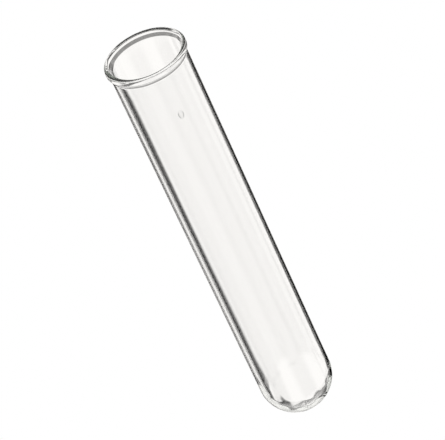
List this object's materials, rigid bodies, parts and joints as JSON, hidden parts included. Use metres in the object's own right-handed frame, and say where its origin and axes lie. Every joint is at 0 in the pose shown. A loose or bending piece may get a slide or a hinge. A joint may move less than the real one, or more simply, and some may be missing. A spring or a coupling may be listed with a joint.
{
  "type": "test tube",
  "caption": "Clear round-bottomed laboratory test tube with a flared, fire-polished rim; holds liquids and samples, sits in a rack or clamp.",
  "frame": {"origin": "lowest point of the outer round bottom, on the tube's axis", "axes": "+Z along the tube's axis from the round bottom to the open mouth; X and Y are across the tube"},
  "size_m": [0.0266, 0.0266, 0.151],
  "materials": {
    "clear_glass": "fire-polished clear borosilicate glass, colourless with a faint grey-green edge"
  },
  "bodies": {
    "root": {"glass_tube": "clear_glass"}
  },
  "joints": []
}
